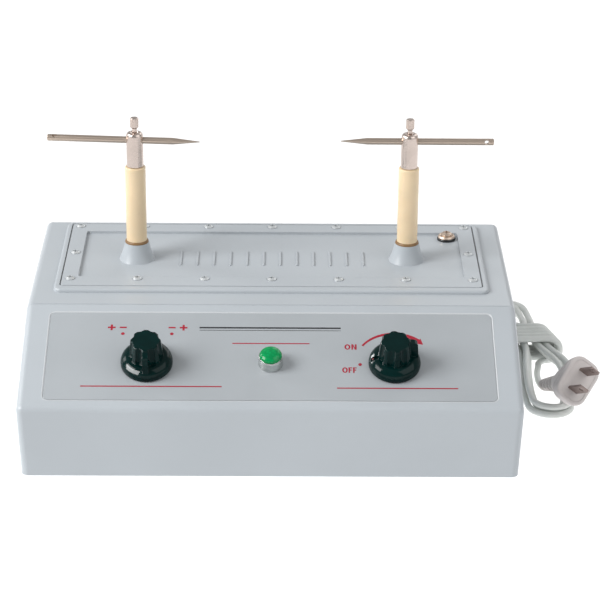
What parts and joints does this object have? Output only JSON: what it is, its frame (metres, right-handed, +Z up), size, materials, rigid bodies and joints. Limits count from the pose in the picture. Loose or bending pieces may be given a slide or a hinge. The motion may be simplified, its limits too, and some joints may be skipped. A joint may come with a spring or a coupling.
{
  "type": "induction coil",
  "caption": "Classroom high-voltage source: sloping control case, two insulated posts with sliding pointed needles over a scale, polarity and level knobs, pilot lamp, hanked mains cord.",
  "frame": {"origin": "on the table, below the middle of the case's foot", "axes": "+X to the right along the panel, +Y to the back, +Z up"},
  "size_m": [0.3341, 0.2759, 0.164],
  "materials": {
    "case_grey": "light blue-grey moulded plastic, fine satin grain",
    "base_grey": "grey satin sheet",
    "steel_screw": "zinc plated",
    "black_rubber": "matt",
    "panel_grey": "slightly darker blue-grey, satin, printed",
    "cream_plastic": "cream insulating tube, satin gloss",
    "brown_seal": "brown varnish",
    "nickel": "nickel plated, polished",
    "needle_steel": "drawn rod, slightly dulled",
    "brass": "bright turned",
    "black_plastic": "moulded black",
    "knob_black": "polished black phenolic",
    "shaft_metal": "turned",
    "switch_blue": "moulded",
    "control_body": "plated can",
    "chrome_ring": "polished",
    "green_lens": "transparent green lens",
    "board_green": "solder mask",
    "nylon": "natural nylon",
    "capacitor_sleeve": "shrink sleeve",
    "aluminium": "extruded",
    "fuse_glass": "glass tube with end caps",
    "core_iron": "laminated iron",
    "copper_winding": "enamelled copper wire",
    "resin": "sectioned bobbin, potted",
    "red_wire": "silicone insulation",
    "green_wire": "insulation",
    "cord_grey": "soft grey PVC sheath",
    "gland_grey": "flexible boot",
    "plug_grey": "moulded pinkish grey plug",
    "blade_metal": "plated blades"
  },
  "bodies": {
    "housing": {"case_shell": "case_grey", "base_plate": "base_grey", "base_screws": "steel_screw", "rubber_feet": "black_rubber", "top_cover": "case_grey", "cover_screws": "steel_screw", "panel_plate": "panel_grey", "insulator_left": "cream_plastic", "insulator_right": "cream_plastic", "seal_rings": "brown_seal", "post_left": "nickel", "post_right": "nickel", "post_nuts": "brass", "terminal_base": "black_plastic", "terminal_washer": "brass", "terminal_screw": "brass", "terminal_nut": "brass", "polarity_switch": "switch_blue", "switch_nut": "steel_screw", "level_control": "control_body", "control_nut": "steel_screw", "lamp_bezel": "chrome_ring", "lamp_lens": "green_lens", "lamp_holder": "black_plastic", "lamp_nut": "steel_screw", "circuit_board": "board_green", "board_pillars": "nylon", "capacitors": "capacitor_sleeve", "heat_sink": "aluminium", "power_transistor": "black_plastic", "fuse": "fuse_glass", "fuse_clips": "brass", "transformer_core": "core_iron", "transformer_coil": "copper_winding", "coil_core": "core_iron", "coil_primary": "copper_winding", "coil_secondary": "resin", "coil_brackets": "nylon", "coil_lead_left": "red_wire", "coil_lead_right": "red_wire", "earth_lead": "green_wire", "inner_cord": "cord_grey", "cord_gland": "gland_grey", "mains_cord": "cord_grey", "cord_hank": "cord_grey", "plug_body": "plug_grey", "plug_blades": "blade_metal"},
    "knob_left": {"knob_left": "knob_black", "knob_left_screw": "steel_screw", "switch_shaft": "shaft_metal"},
    "knob_right": {"knob_right": "knob_black", "knob_right_screw": "steel_screw", "control_shaft": "shaft_metal"},
    "needle_left": {"needle_left": "needle_steel"},
    "needle_right": {"needle_right": "needle_steel"},
    "clamp_left": {"clamp_screw_left": "nickel"},
    "clamp_right": {"clamp_screw_right": "nickel"}
  },
  "joints": [
    {"name": "polarity_turn", "type": "hinge", "parent": "housing", "child": "knob_left", "pos_m": [-0.0701, -0.06788, 0.05635], "axis": [0, -0.3714, 0.9285], "range_deg": [-34, 34]},
    {"name": "level_turn", "type": "hinge", "parent": "housing", "child": "knob_right", "pos_m": [0.0701, -0.06788, 0.05635], "axis": [0, -0.3714, 0.9285], "range_deg": [-300, 0]},
    {"name": "needle_left_slide", "type": "slide", "parent": "housing", "child": "needle_left", "axis": [0.9973, -0.0732, 0], "range_m": [-0.018, 0.04]},
    {"name": "needle_right_slide", "type": "slide", "parent": "housing", "child": "needle_right", "axis": [-1, 0, 0], "range_m": [-0.018, 0.04]},
    {"name": "clamp_left_turn", "type": "hinge", "parent": "housing", "child": "clamp_left", "pos_m": [-0.0815, 0.042, 0.157], "axis": [0, 0, 1], "range_deg": [0, 360]},
    {"name": "clamp_right_turn", "type": "hinge", "parent": "housing", "child": "clamp_right", "pos_m": [0.0815, 0.042, 0.157], "axis": [0, 0, 1], "range_deg": [0, 360]}
  ]
}
